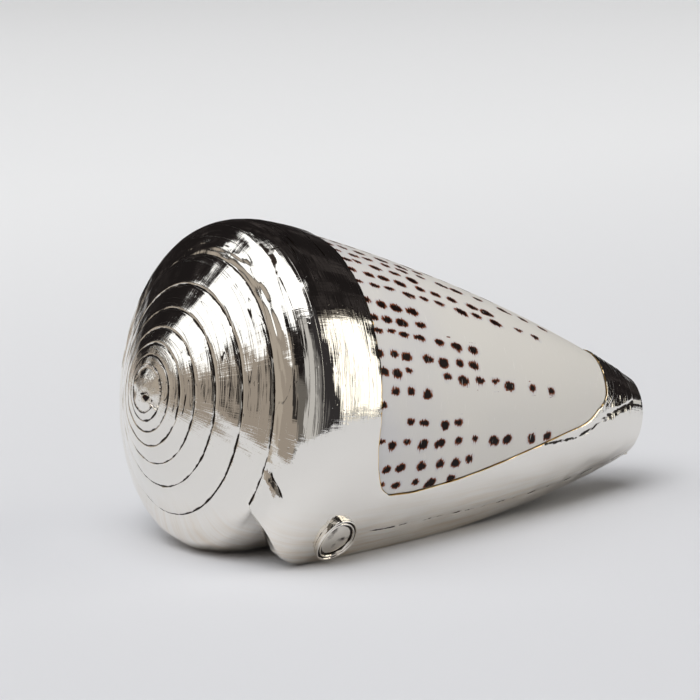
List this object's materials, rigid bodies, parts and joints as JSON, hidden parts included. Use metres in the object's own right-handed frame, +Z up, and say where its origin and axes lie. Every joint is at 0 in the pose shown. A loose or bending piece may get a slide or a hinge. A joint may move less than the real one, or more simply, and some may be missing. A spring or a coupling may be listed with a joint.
{
  "type": "cone shell in a silver mount",
  "caption": "Large spotted cone shell lying on its side, its spire, lip and tip sheathed in polished silver with a blank oval plaque on the lip.",
  "frame": {"origin": "centre of the bounding box at table level, under the shell lying on its side", "axes": "+Z up; +X along the shell's length, from the spire to the narrow front end; -Y the side with the outer lip and the plaque"},
  "size_m": [0.1304, 0.077, 0.0716],
  "materials": {
    "natural_shell": "smooth natural shell, off-white with rows of dark brown spots, soft gloss",
    "polished_silver": "mirror-polished silver following the shell's ridges and growth lines",
    "plaque_silver": "polished silver with darker recesses"
  },
  "bodies": {
    "root": {"shell": "natural_shell", "silver_mount": "polished_silver", "oval_plaque": "plaque_silver"}
  },
  "joints": []
}
